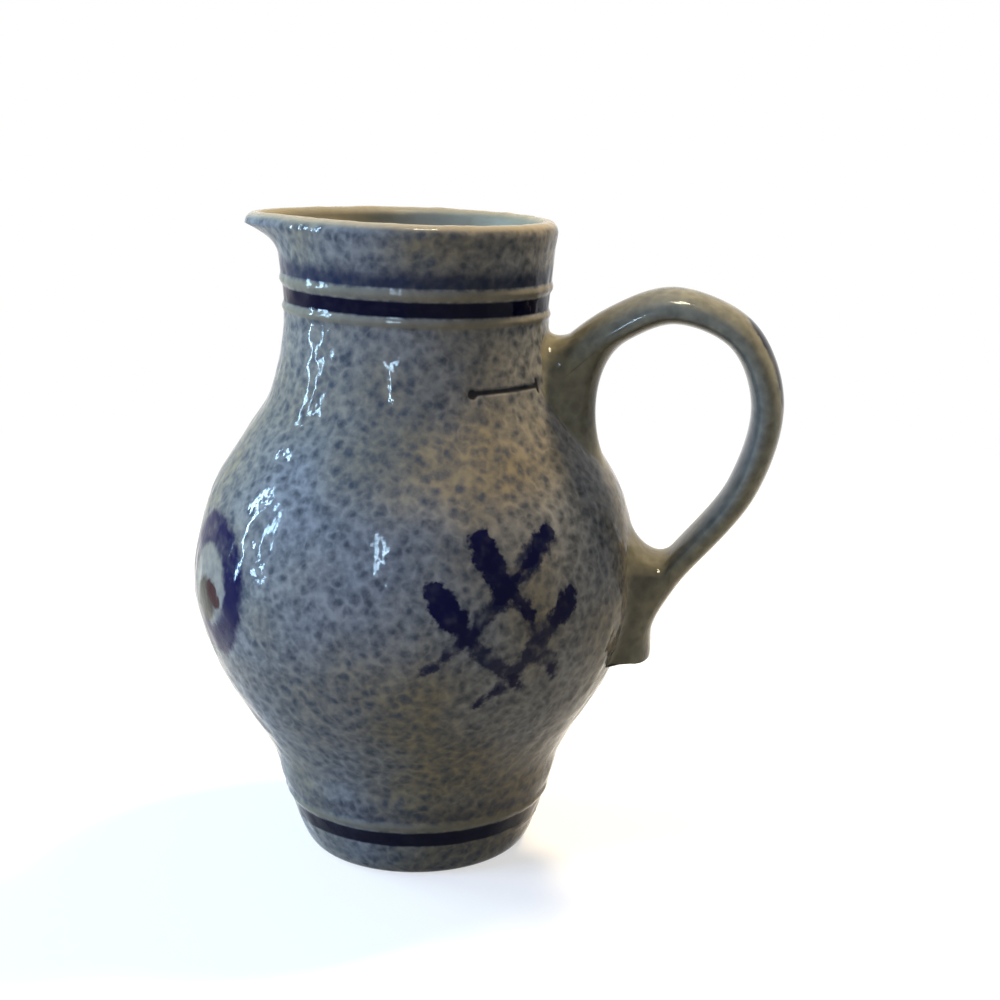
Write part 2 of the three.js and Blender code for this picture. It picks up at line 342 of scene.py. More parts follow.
def pullSpout(p):
    # draws the rim out to a beak away from the handle: the pull fades to both sides and down the neck
    b = bodySizes
    x, y, z = np.moveaxis(p, -1, 0)
    up = np.clip((z - rimHeight + b["spoutDepth"]) / (b["spoutDepth"] - b["spoutLip"]), 0, 1)
    aside = np.arctan2(y, -x) / math.radians(b["spoutSpread"])
    pull = up ** b["spoutFade"] * np.exp(-(aside**2))
    stretch = 1 + b["spoutReach"] * pull / np.hypot(x, y)
    return np.stack([x * stretch, y * stretch, z - b["spoutSag"] * pull], -1)


# Brushwork: each mark is a line of points (degrees from the handle, height, half width, load of pigment)

brushwork = {
    "roundBelly": 40.0,  # radius at which degrees become millimetres
    "strokes": (
        (
            (64.3, 67.4, 1.9, 1.0), (63.2, 65.8, 2.3, 1.0), (61.8, 63.2, 2.3, 1.0),
            (59.3, 60.3, 2.0, 0.95), (55.2, 57.2, 1.3, 0.90), (52.4, 54.1, 1.1, 0.9),
            (51.6, 51.0, 1.4, 0.35), (48.7, 47.6, 1.3, 0.40), (45.2, 43.8, 1.0, 0.80),
            (44.0, 42.0, 0.6, 0.8),
        ),
        (
            (45.6, 67.3, 1.8, 1.0), (48.5, 65.6, 2.2, 0.75), (51.9, 63.4, 2.1, 0.55),
            (55.8, 61.4, 1.8, 0.50), (59.5, 58.3, 1.8, 0.80), (62.8, 56.2, 1.5, 0.30),
            (65.9, 53.8, 1.2, 0.30), (67.9, 51.8, 1.4, 0.95), (71.1, 50.1, 1.0, 0.45),
            (74.7, 47.9, 0.8, 0.60), (77.9, 46.1, 0.7, 0.7), (80.2, 44.9, 0.5, 0.9),
        ),
        (
            (75.9, 59.6, 2.0, 1.0), (74.3, 57.8, 2.4, 1.0), (71.8, 55.4, 2.1, 1.0),
            (69.9, 53.0, 1.5, 0.80), (67.9, 51.2, 1.3, 0.90), (65.4, 49.0, 1.4, 0.35),
            (62.1, 46.9, 1.5, 0.30), (58.9, 44.8, 1.4, 0.40), (55.4, 42.7, 1.2, 0.90),
            (53.8, 41.4, 0.9, 0.7),
        ),
        (
            (40.8, 56.8, 1.5, 1.0), (42.0, 55.3, 1.9, 1.0), (45.2, 53.5, 1.6, 0.95),
            (48.0, 51.4, 1.6, 0.30), (50.6, 49.4, 1.8, 0.35), (53.3, 46.8, 1.4, 0.35),
            (55.9, 44.7, 1.2, 0.40), (58.4, 42.5, 1.0, 0.45), (61.4, 40.8, 0.95, 0.70),
            (64.1, 39.3, 0.8, 0.8), (66.1, 38.2, 0.6, 0.9),
        ),
    ),
    "perSpan": 10,  # points of a stroke's line between two of these
    "dryLoss": 2.4,  # how much narrower the dense part is where the brush is empty
    "ringMiddle": (144.7, 55.0),  # degrees from the handle, height
    "ringRadius": 9.9,
    "ringHalf": 2.7,
    "dab": ((142.7, 54.7, 1.5, 1.0), (140.6, 53.7, 1.8, 1.0), (138.5, 52.7, 1.5, 1.0)),
    "umberMiddle": (145.3, 52.0),
    "umberRadius": 4.0,
}


def brushFields(angle, z):
    # distances inside the edges of the painted marks, positive within them, on both halves of the jug.
    # A stroke's distance is its half width less the way to its line,
    # and its dense part shrinks as the load falls
    w = brushwork
    spread = math.radians(1) * w["roundBelly"]
    place = np.stack([np.degrees(np.abs(angle)) * spread + 0 * z, z], -1)

    def insideStroke(stroke):
        line = splineThrough(np.array(stroke) * (spread, 1, 1, 1), 0.5, w["perSpan"])
        return line[:, 2] - np.linalg.norm(place[..., None, :] - line[:, :2], axis=-1), line[:, 3]

    def awayFrom(middle):
        return np.linalg.norm(place - np.array(middle) * (spread, 1), axis=-1)

    dry = np.full(z.shape, noMark)
    dense = dry.copy()
    for stroke in w["strokes"]:
        inside, load = insideStroke(stroke)
        dry = np.maximum(dry, inside.max(-1))
        dense = np.maximum(dense, (inside - w["dryLoss"] * (1 - load)).max(-1))

    away = awayFrom(w["ringMiddle"])
    return {
        "dryEdge": dry,
        "denseEdge": dense,
        "ringEdge": w["ringHalf"] - np.abs(away - w["ringRadius"]),
        "paleEdge": w["ringRadius"] - w["ringHalf"] - away,
        "umberEdge": w["umberRadius"] - awayFrom(w["umberMiddle"]),
        "dabEdge": insideStroke(w["dab"])[0].max(-1),
    }


def lineField(angle, z):
    # distance inside the scratched fill line: a bar with a dot at one end and a tick at the other
    f = fillLine
    radius = sideRadius(f["height"])
    x = np.radians(np.degrees(angle) - f["from"]) * radius
    length = math.radians(f["to"] - f["from"]) * radius
    y = z - f["height"]
    bar = f["half"] - np.hypot(x - np.clip(x, 0, length), y)
    dot = f["dot"] - np.hypot(x, y + f["dotDrop"])
    tick = f["half"] - np.hypot(x - length, y - np.clip(y, -f["tick"], f["tick"]))
    return np.maximum(np.maximum(bar, dot), tick)


def makeBody():
    # the outline turned round the axis, pulled to a spout, with the hand's and the glaze's unevenness
    b = bodySizes
    outline, kind = bodyOutline()
    slope = unit(np.gradient(outline, axis=0))
    outward = np.column_stack([slope[:, 1], -slope[:, 0]])
    angle = np.linspace(-np.pi, np.pi, b["around"], endpoint=False)[None, :]
    z = outline[:, 1:] + 0 * angle
    cosine, sine = np.cos(angle), np.sin(angle)
    points = np.stack([outline[:, :1] * cosine, outline[:, :1] * sine, z], -1)
    normal = np.stack([outward[:, :1] * cosine, outward[:, :1] * sine, outward[:, 1:] + 0 * angle], -1)
    outside = (kind == "side")[:, None]
    uneven = np.zeros(z.shape)
    for size, height, seed in (b["handWave"], b["peelWave"]):
        uneven += height * waves(points, size, seed)
    uneven *= ~np.isin(kind, ("under", "edge", "ground"))[:, None]  # underside and floor stay flat
    uneven += ridgeLift(z) * outside
    mark = np.where(outside, lineField(angle, z), noMark)
    uneven -= fillLine["depth"] * smoothStep(*fillLine["groove"], mark)
    points = leanNeck(pullSpout(points + normal * uneven[..., None]))
    body = gridPiece("jug_body_glazed", points, (0, 0, 0), (0, 0, b["floor"]))

    bands = [(high - low) / 2 - np.abs(z - (high + low) / 2) for low, high in b["bands"]]
    wash = np.zeros(z.shape)
    for ridge, strength in b["washes"]:
        middle, width, _ = b["ridges"][ridge]
        above = z - middle - width / 2
        wash += strength * smoothStep(*b["washStart"], above) * (1 - smoothStep(*b["washFade"], above))
    fields = brushFields(angle, z)
    fields["bandEdge"] = np.maximum.reduce(bands)
    fields["lineEdge"] = mark
    fields = {name: np.where(outside, values, noMark) for name, values in fields.items()}
    fields["wash"] = np.where(outside, wash, 0)
    fields["thin"] = ridgeLift(z) / b["thinRise"] * outside
    fields["crest"] = np.exp(-(((z - rimHeight) / b["crest"]) ** 2)) * (kind == "lip")[:, None]
    over = smoothStep(*b["withinEdge"], (lipRadius - outline[:, 0]) / b["wall"])  # 1 is past the lip
    within = np.where(kind == "lip", over, np.isin(kind, ("inside", "corner", "ground")))
    fields["within"] = within[:, None] + 0 * z
    fields["bare"] = (kind == "under")[:, None] + 0 * z
    for name, values in fields.items():
        addField(body, name, values)
    return body


body = makeBody()
print("body:", len(body.data.polygons), "faces")

# Handle: a pulled strap whose section is fuller outside than inside, with a soft edge between

handleSizes = {
    "upperRoot": 91.1,  # height of the upper root's middle
    "archMiddle": (46.9, 86.5),  # out from the axis, height
    "archRadius": 17.0,
    "archSpokes": (130, 90, 45, 0),  # degrees
    "bend": (59.9, 70.4),
    "sweep": (46.7, 53.4),
    "lying": 44.9,  # height of a point where the tail lies on the belly
    "tailEnd": 38.3,
    "tailProud": 1.8,
    "tailKick": 1.9,
    "sunk": 1.2,  # how far the strap starts inside the upper root
    "rootThickness": 7.4,
    "strapThickness": 5.8,
    "tailThickness": 5.2,
    "strapWidth": 14.5,
    "tailWidth": 15.0,
    "rootTaper": 0.45,  # share of the length over which the root thins to the strap
    "tailTaper": (0.5, 0.8),  # shares of the length between which the strap thins to the tail
    "tailSpread": (0.65, 0.9),  # and widens to it
    "outerShare": 0.64,  # share of the thickness that lies outside the widest line
    "fullness": 2.15,  # 2 is an oval section
    "perSpan": 60,  # points of the middle line between two of its own
    "rows": 220,
    "around": 72,
    "capRows": 7,
    "cutLevel": (38.2, 0.25),  # height of the level cut under the tail, and how soft its edge is
    "edgeRound": 0.7,
    "wave": (9.0, 0.10, 4.0),  # size, height and seed of the unevenness left by the hand
    "stripe": (36.0, 8.0),  # degrees of the arch between which a cobalt stroke runs down the outer face
    "stripeHalf": 4.4,
    "innerShade": (0.05, 0.45),  # inward part of the turn where the painted shade on the strap's inner face starts and is full
}


def strapLine():
    # middle line through the roots, a round arch and the tail, with its length from the upper root on,
    # its whole length and the part of it that lies inside the neck
    h = handleSizes
    root = np.array([sideRadius(h["upperRoot"]), h["upperRoot"]])
    spokes = np.radians(h["archSpokes"])[:, None]
    arch = np.array(h["archMiddle"]) + h["archRadius"] * np.hstack([np.cos(spokes), np.sin(spokes)])
    deep = h["rootThickness"] * math.sqrt(0.5)  # it starts as deep inside the neck as the root is thick
    tail = [
        (sideRadius(h["lying"]) + h["tailProud"], h["lying"]),
        (sideRadius(h["tailEnd"]) + h["tailProud"] + h["tailKick"], h["tailEnd"]),
    ]
    points = np.vstack([[root - deep], [root], arch, [h["bend"]], [h["sweep"]], tail])
    line = splineThrough(points, 0.5, h["perSpan"])
    way = np.concatenate([[0], np.cumsum(np.linalg.norm(np.diff(line, axis=0), axis=1))])
    start = way[h["perSpan"]]
    return line, way - start, way[-1], start


strapPath, strapWay, strapWhole, strapStart = strapLine()
strapEnd = strapWay[-1]
strapAlong = unit(np.gradient(strapPath, strapWay, axis=0))


def strapHalves(way):
    # half thickness and half width at a length from the upper root, as in the solid
    h = handleSizes
    share = (way + strapStart) / strapWhole
    thinner = h["strapThickness"] - h["rootThickness"]
    rooted = h["rootThickness"] + thinner * np.clip(share / h["rootTaper"], 0, 1)
    thick = rooted + (h["tailThickness"] - rooted) * smoothStep(*h["tailTaper"], share)
    wide = h["strapWidth"] + (h["tailWidth"] - h["strapWidth"]) * smoothStep(*h["tailSpread"], share)
    return thick / 2, wide / 2


def strapMiddle(way):
    x, z = (np.interp(way, strapWay, strapPath[:, k]) for k in (0, 1))
    return np.stack([x, 0 * x, z], -1)


def onStrap(way, turn):
    # the point of the strap's skin at a length from the upper root and a turn about its line
    # (0 is inside): an oval made fuller by a power, with its widest line nearer the inside
    h = handleSizes
    x, z = (np.interp(way, strapWay, strapPath[:, k]) for k in (0, 1))
    alongX, alongZ = (np.interp(way, strapWay, strapAlong[:, k]) for k in (0, 1))
    half, wide = strapHalves(way)

    def fuller(wave):
        return np.sign(wave) * np.abs(wave) ** (2 / h["fullness"])

    inward = fuller(np.cos(turn))
    shift = 2 * half * (h["outerShare"] - 0.5)
    inner, outer = 2 * half * (1 - h["outerShare"]), 2 * half * h["outerShare"]
    depth = shift + inward * np.where(inward > 0, inner, outer)
    skin = np.stack([x + alongZ * depth, wide * fuller(np.sin(turn)), z - alongX * depth], -1)
    size, height, seed = h["wave"]
    return skin + unit(skin - strapMiddle(way)) * height * waves(skin, size, seed)[..., None]


def cutLevel(p):
    # clay below the cut is brought up to it: the larger of the height and the cut, with a soft corner
    level, soft = handleSizes["cutLevel"]
    x, y, z = np.moveaxis(p, -1, 0)
    return np.stack([x, y, level + soft * np.logaddexp(0, (z - level) / soft)], -1)


def makeHandle():
    # the section carried along the middle line, its start inside the root, its cut end rounded over
    h = handleSizes
    way = np.linspace(-h["sunk"], strapEnd, h["rows"])[:, None]
    turn = np.linspace(0, 2 * np.pi, h["around"], endpoint=False)[None, :]
    points = onStrap(way + 0 * turn, turn + 0 * way)
    middle = points[-1].mean(0)
    along = np.array([strapAlong[-1, 0], 0, strapAlong[-1, 1]])
    over = np.linspace(0, np.pi / 2, h["capRows"])[1:, None, None]
    rim = unit(points[-1] - middle) * h["edgeRound"]
    cap = points[-1] - rim * (1 - np.cos(over)) + along * h["edgeRound"] * np.sin(over)
    points = cutLevel(np.concatenate([points, cap]))
    handle = gridPiece("strap_handle_glazed", points, points[0].mean(0), points[-1].mean(0))

    x, y, z = np.moveaxis(points, -1, 0)
    archX, archZ = h["archMiddle"]
    degrees = np.degrees(np.arctan2(z - archZ, x - archX))
    top, low = h["stripe"]
    beyond = np.maximum(np.maximum(degrees - top, low - degrees), 0) * math.radians(1) * h["archRadius"]
    stripe = h["stripeHalf"] - np.hypot(y, beyond)  # round at both ends
    inward = np.cos(turn) + 0 * x
    addField(handle, "stripeEdge", np.where(inward < 0, stripe, noMark))
    # painted shade: the strap's inner face, which turns away from the light, is darkened
    addField(handle, "inner", smoothStep(*h["innerShade"], inward))
    return handle


handle = makeHandle()
print("handle:", len(handle.data.polygons), "faces")

# Luting: soft clay smoothed from the body up onto the strap, as hollow fillets

upperLutingSizes = {
    "middle": 87.6,  # height of the outline's widest line on the body
    "up": 11.0,
    "down": 14.6,
    "wide": 9.8,
    "runTop": 6.6,  # how far along the strap it reaches, over and under it
    "runBelow": 15.0,
    "pull": (0.9, 1.05),  # how strongly the fillet hugs the body and the strap
    "around": 144,
    "steps": 30,
    "core": 0.5,  # share of the strap's section in which its hidden inner edge lies
    "below": (0.2, -0.7),  # upward part of the turn from which the painted shade under the strap starts and is full
}
lowerLutingSizes = {
    "outline": (  # round the body, height
        (9.8, 37.6), (11.0, 44.0), (11.2, 52.0), (8.6, 59.4), (0.0, 64.0),
    ),
    "onStrap": (  # degrees about the strap from its inside, length from its end
        (112, -0.4), (112, 8.0), (104, 14.0), (70, 18.5), (0, 21.5),
    ),
    "sidePull": (0.8, 0.75),
    "crotchPull": (1.5, 1.3),
    "around": 170,
    "steps": 26,
    "perSpan": 40,
    "core": (0.4, 9.0),  # its hidden inner edge: share of the outline's width, drop under the crotch
    "dark": (0.6, 0.8),  # painted shade in the crotch under the strap, and how much darker the sides are along their hollow
}
lutingEdge = {  # how the fillet's edges dive under the surfaces that they join
    "beyond": 1.2,
    "sunk": 0.25,
    "deep": 1.2,
}
probe = {"rise": 0.2, "length": 0.5, "turn": 0.05, "shrink": 0.95}  # small steps that give directions


def bodyOutward(p):
    # the smooth body's outward direction at points on it
    x, y, z = np.moveaxis(p, -1, 0)
    rise = probe["rise"]
    slant = (sideRadius(z + rise) - sideRadius(z - rise)) / (2 * rise)
    flat = np.hypot(x, y)
    return unit(np.stack([x / flat, y / flat, -slant], -1))


def filletRows(start, inward, end, arrive, corner, middle, pull, steps):
    # rows across a hollow fillet: from under the body's skin, along a cubic from body to strap,
    # under the strap's skin, and back through the corner that the two make inside the clay
    e = lutingEdge
    span = np.linalg.norm(end - start, axis=-1, keepdims=True)
    bodyPull, strapPull = pull
    strip = hermite(start, inward * span * bodyPull, end, arrive * span * strapPull, steps)
    outward = bodyOutward(start)
    toMiddle = unit(middle - end)
    rows = [
        corner,
        start - outward * e["deep"],
        start - inward * e["beyond"] - outward * e["sunk"],
        *strip,
        end + arrive * e["beyond"] + toMiddle * e["sunk"],
        end + toMiddle * e["deep"],
    ]
    return np.stack(rows)


def makeUpperLuting():
    # a collar: from an egg-shaped outline on the neck up to a slanting ring on the strap
    u = upperLutingSizes
    turn = np.linspace(0, 2 * np.pi, u["around"], endpoint=False)
    upward = np.cos(turn)
    arc = u["wide"] * np.sin(turn)
    z = u["middle"] + np.where(upward > 0, u["up"], u["down"]) * upward
    start = onBody(arc, z)
    shrink = probe["shrink"]
    inward = unit(onBody(arc * shrink, u["middle"] + (z - u["middle"]) * shrink) - start)
    way = u["runTop"] + (u["runBelow"] - u["runTop"]) * (1 - upward) / 2
    about = np.pi - turn
    end = onStrap(way, about)
    arrive = unit(onStrap(way + probe["length"], about) - end)
    root = strapMiddle(0 * way)
    corner = root + (onStrap(0 * way, about) - root) * u["core"]
    rows = filletRows(start, inward, end, arrive, corner, strapMiddle(way), u["pull"], u["steps"])
    luting = gridPiece("upper_luting_glazed", rows, closeRows=True)
    # painted shade under the strap, growing from the body's edge towards the strap
    below = smoothStep(*u["below"], upward) * np.linspace(0, 1, len(rows))[:, None]
    addField(luting, "inner", below)
    addField(luting, "stripeEdge", np.full(below.shape, noMark))
    return luting


def makeLowerLuting():
    # a saddle: from a horseshoe outline on the belly up to the strap's edges and its underside,
    # cut off with the tail
    u = lowerLutingSizes
    share = np.linspace(0, 1, u["around"])

    def bothSides(half):
        # the half line and its mirror image as one smooth line
        half = np.array(half, float)
        line = splineThrough(np.vstack([half * (-1, 1), half[-2::-1]]), 0.5, u["perSpan"])
        along = np.linspace(0, 1, len(line))
        return [np.interp(share, along, line[:, k]) for k in (0, 1)]

    arc, z = bothSides(u["outline"])
    runArc, runZ = unit(np.gradient(np.column_stack([arc, z]), axis=0)).T
    start = onBody(arc, z)
    inward = unit(onBody(arc + probe["length"] * runZ, z - probe["length"] * runArc) - start)
    degrees, fromEnd = bothSides(u["onStrap"])
    turn, way = np.radians(degrees), strapEnd - fromEnd
    end = onStrap(way, turn)
    aside = unit(onStrap(way, turn + probe["turn"] * np.sign(turn + 1e-9)) - end)
    upStrap = unit(onStrap(way - probe["length"], turn) - end)
    crotch = np.cos(np.clip(turn, -np.pi / 2, np.pi / 2))[:, None]  # 1 under the strap, 0 at its edges
    arrive = unit(aside * (1 - crotch) + upStrap * crotch)
    narrow, drop = u["core"]
    corner = onBody(arc * narrow, z - drop * crotch[:, 0])
    pull = [side + (top - side) * crotch for side, top in zip(u["sidePull"], u["crotchPull"])]
    rows = filletRows(start, inward, end, arrive, corner, strapMiddle(way), pull, u["steps"])
    rows = cutLevel(rows.transpose(1, 0, 2))
    luting = gridPiece("lower_luting_glazed", rows, rows[0].mean(0), rows[-1].mean(0))
    across = np.sin(np.linspace(0, np.pi, rows.shape[1])) ** 2  # 1 along the middle of the fillet, 0 at its edges
    under, beside = u["dark"]
    # painted shade in the crotch under the strap; the sides darker along the middle of their hollow
    addField(luting, "inner", under * crotch + beside * (1 - crotch) * across)
    addField(luting, "stripeEdge", np.full(rows.shape[:2], noMark))
    return luting


upperLuting = makeUpperLuting()
lowerLuting = makeLowerLuting()
print("luting:", len(upperLuting.data.polygons), "and", len(lowerLuting.data.polygons), "faces")

# Glaze


def hexLinear(code):
    # sRGB hex to linear light
    channels = np.array([int(code[k : k + 2], 16) for k in (1, 3, 5)]) / 255
    linear = np.where(channels <= 0.04045, channels / 12.92, ((channels + 0.055) / 1.055) ** 2.4)
    return (*linear, 1.0)


def addNode(tree, kind, inputs, out=0, **settings):
    # adds a node and gives back one of its outputs; each input takes a value or another node's output
    node = tree.nodes.new("ShaderNode" + kind)
    for name, value in settings.items():
        setattr(node, name, value)
    for socket, value in inputs.items():
        if isinstance(value, bpy.types.NodeSocket):
            tree.links.new(value, node.inputs[socket])
        else:
            node.inputs[socket].default_value = value
    return node.outputs[out] if node.outputs else None


# Stoneware fired in salt vapour: a thin, hard, very glossy coat that draws together into dark spots
# in a paler net, with an orange-peel surface that breaks up every reflection.
# Cobalt and iron were brushed on under it
bodyGlaze = {
    "spot": 1.8,  # millimetres from one dark spot to the next
    "grain": 1.6,  # size of the roughness of their edges, and how much it shows
    "grainShare": 1.35,
    "net": 2.7,  # size of the curls of paler glaze between them, and how much they show
    "netShare": 0.28,
    "drift": 2.6,  # how far apart the bends of the spots are, and how deep
    "bend": 1.6,
    "cloud": 24.0,  # size of the warmer clouds in the net
    "blotch": 1.7,  # size of the ragged steps at a brushed edge
    "patch": 3.2,  # and of the places where the brush left less pigment
    "contrast": (0.08, 0.88),  # distance from a spot's middle at which it starts to pale and has ended
    "dark": "#41464e",
    "pale": "#7e8287",
    "warm": "#7c7460",
    # field on the mesh, wander of its edge, where the layer starts and is full, how much it covers,
    # how much of that is lost in patches, colour
    "layers": (
        ("thin", 0.1, 0.05, 0.80, 0.75, 0.0, "#716d5f"),
        ("crest", 0.0, 0.1, 0.9, 0.80, 0.0, "#968e7a"),
        ("within", 0.0, 0.0, 1.0, 0.94, 0.0, "#827e6d"),
        ("wash", 0.8, 0.0, 1.0, 0.88, 0.1, "#121d38"),
        ("paleEdge", 1.6, -0.6, 0.8, 0.55, 0.0, "#817d75"),
        ("umberEdge", 1.8, -0.8, 0.8, 0.95, 0.0, "#26231a"),
        ("dabEdge", 1.4, -0.3, 0.5, 1.00, 0.0, "#2a020e"),
        ("ringEdge", 2.4, -0.9, 0.8, 1.00, 0.25, "#050a36"),
        ("dryEdge", 3.4, -0.6, 0.5, 0.92, 0.45, "#0a1236"),
        ("denseEdge", 3.4, -0.30, 0.40, 1.00, 0.20, "#020430"),
        ("bandEdge", 0.2, -0.15, 0.35, 1.00, 0.03, "#02031e"),
        ("lineEdge", 0.2, -0.10, 0.30, 0.92, 0.0, "#13141c"),
        ("bare", 0.0, 0.0, 1.0, 1.00, 0.0, "#948b7c"),
    ),
    "pit": 1.4,  # size and depth of the finest dents
    "pitDepth": 0.05,
    "roughness": (0.05, 0.11),
    "dullInside": 0.35,  # added on the thinly glazed inside
}
# The same glaze on the strap and its joints, where wet hands had smoothed the clay:
# finer and less spotted
handleGlaze = {
    "spot": 2.2,
    "grain": 1.0,
    "grainShare": 0.8,
    "net": 3.0,
    "netShare": 0.2,
    "drift": 3.4,
    "bend": 1.3,
    "cloud": 18.0,
    "blotch": 1.7,
    "patch": 3.2,
    "contrast": (0.0, 0.88),
    "dark": "#595a53",
    "pale": "#7a7c73",
    "warm": "#7b7866",
    "layers": (
        # painted shade: the field inner darkens the strap's inner face and the joints under the strap
        ("inner", 0.3, 0.1, 0.9, 0.50, 0.2, "#3f3e3c"),
        ("stripeEdge", 1.6, -0.5, 0.5, 0.96, 0.25, "#04061c"),
    ),
    "pit": 2.6,
    "pitDepth": 0.030,
    "roughness": (0.06, 0.14),
    "dullInside": 0.0,
}
bothGlazes = {
    "spotSoftness": 0.4,
    "grainDetail": (3.0, 0.65),  # octaves of its noise, and how strong each is beside the one before
    "curlHalf": 0.14,  # distance from the noise's mean at which a curl of the net has ended
    "cloudRange": (0.35, 0.65),  # values of each noise between which its effect sets in
    "patchRange": (0.46, 0.70),
    "dullRange": (0.3, 0.7),
    "ior": 1.5,
    "specular": 0.055,  # weak, because the white surroundings show in it from every side
}
patternSizes = ("spot", "grain", "net", "drift", "cloud", "blotch", "patch", "pit")
noiseMean = 0.5


def makeGlaze(name, look):
    # a Mix node's sockets go by number: 0 is the factor, 2 and 3 are its numbers, 6 and 7 its colours
    g = bothGlazes
    material = bpy.data.materials.new(name)
    material.use_nodes = True
    tree = material.node_tree
    tree.nodes.clear()
    place = addNode(tree, "TexCoord", {}, "Object")
    patterns = {key: {"Vector": place, "Scale": 1 / (look[key] * mm)} for key in patternSizes}

    # mottle: distance to the nearest spot's middle, in space bent by one noise and roughened by
    # a finer one, under a net of curls where another noise is near its mean
    drift = addNode(tree, "TexNoise", patterns["drift"], "Color")
    bend = (look["bend"] * mm,) * 3
    bent = addNode(tree, "VectorMath", {0: drift, 1: bend, 2: place}, operation="MULTIPLY_ADD")
    spots = addNode(
        tree, "TexVoronoi", {**patterns["spot"], "Vector": bent, "Smoothness": g["spotSoftness"]},
        "Distance", feature="SMOOTH_F1",
    )
    detail, rougher = g["grainDetail"]
    grain = addNode(tree, "TexNoise", {**patterns["grain"], "Detail": detail, "Roughness": rougher})
    rough = addNode(tree, "Math", {0: grain, 1: look["grainShare"], 2: spots}, operation="MULTIPLY_ADD")
    low, high = (edge + look["grainShare"] * noiseMean for edge in look["contrast"])
    spotted = addNode(tree, "MapRange", {"Value": rough, "From Min": low, "From Max": high})
    curls = addNode(tree, "TexNoise", {**patterns["net"], "Detail": 1.0})
    curls = addNode(tree, "Math", {0: curls, 1: noiseMean}, operation="SUBTRACT")
    curls = addNode(tree, "Math", {0: curls}, operation="ABSOLUTE")
    curls = addNode(
        tree, "MapRange", {"Value": curls, "From Max": g["curlHalf"], "To Min": 1.0, "To Max": 0.0},
        interpolation_type="SMOOTHSTEP",
    )
    mottle = addNode(tree, "Mix", {0: look["netShare"], 2: spotted, 3: curls}, data_type="FLOAT")
    cloud = addNode(tree, "TexNoise", {**patterns["cloud"], "Detail": 1.0})
    low, high = g["cloudRange"]
    cloudy = addNode(tree, "MapRange", {"Value": cloud, "From Min": low, "From Max": high})
    dark, pale, warm = (hexLinear(look[key]) for key in ("dark", "pale", "warm"))
    net = addNode(tree, "Mix", {0: cloudy, 6: pale, 7: warm}, 2, data_type="RGBA")
    colour = addNode(tree, "Mix", {0: mottle, 6: dark, 7: net}, 2, data_type="RGBA")

    # painted and thin places, one over the other, with edges that wander where the glaze has run
    blotch = addNode(tree, "TexNoise", {**patterns["blotch"], "Detail": 3.0})
    uneven = addNode(tree, "Math", {0: blotch, 1: noiseMean}, operation="SUBTRACT")
    patch = addNode(tree, "TexNoise", {**patterns["patch"], "Detail": 2.0})
    low, high = g["patchRange"]
    patchy = addNode(tree, "MapRange", {"Value": patch, "From Min": low, "From Max": high})
    for field, wander, starts, full, cover, loss, code in look["layers"]:
        edge = addNode(tree, "Attribute", {}, "Fac", attribute_name=field)
        edge = addNode(tree, "Math", {0: uneven, 1: wander, 2: edge}, operation="MULTIPLY_ADD")
        if loss:
            cover = addNode(tree, "Math", {0: patchy, 1: -loss, 2: cover}, operation="MULTIPLY_ADD")
        share = addNode(
            tree, "MapRange", {"Value": edge, "From Min": starts, "From Max": full, "To Max": cover},
            interpolation_type="SMOOTHSTEP",
        )
        colour = addNode(tree, "Mix", {0: share, 6: colour, 7: hexLinear(code)}, 2, data_type="RGBA")

    # fine dents, and a shine that varies with the grain
    pit = addNode(tree, "TexNoise", {**patterns["pit"], "Detail": 1.0})
    bump = addNode(tree, "Bump", {"Strength": 1.0, "Distance": look["pitDepth"] * mm, "Height": pit})
    low, high = g["dullRange"]
    smooth, dull = look["roughness"]
    gloss = addNode(
        tree, "MapRange",
        {"Value": grain, "From Min": low, "From Max": high, "To Min": smooth, "To Max": dull},
    )
    within = addNode(tree, "Attribute", {}, "Fac", attribute_name="within")
    gloss = addNode(tree, "Math", {0: within, 1: look["dullInside"], 2: gloss}, operation="MULTIPLY_ADD")
    shader = addNode(
        tree, "BsdfPrincipled",
        {
            "Base Color": colour,
            "Roughness": gloss,
            "IOR": g["ior"],
            "Specular IOR Level": g["specular"],
            "Normal": bump,
        },
    )
    addNode(tree, "OutputMaterial", {"Surface": shader})
    return material


bodyMaterial = makeGlaze("salt_glazed_stoneware", bodyGlaze)
handleMaterial = makeGlaze("salt_glazed_smoothed_clay", handleGlaze)
for piece, node, material, slot in (
    (body, "jug_body", bodyMaterial, "body_glaze"),
    (handle, "handle", handleMaterial, "handle_glaze"),
    (upperLuting, "upper_luting", handleMaterial, "handle_glaze"),
    (lowerLuting, "lower_luting", handleMaterial, "handle_glaze"),
):
    piece.data.materials.append(material)
    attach(piece, "root")
    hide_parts(node)
print("glaze: two materials on four pieces")

# Studio

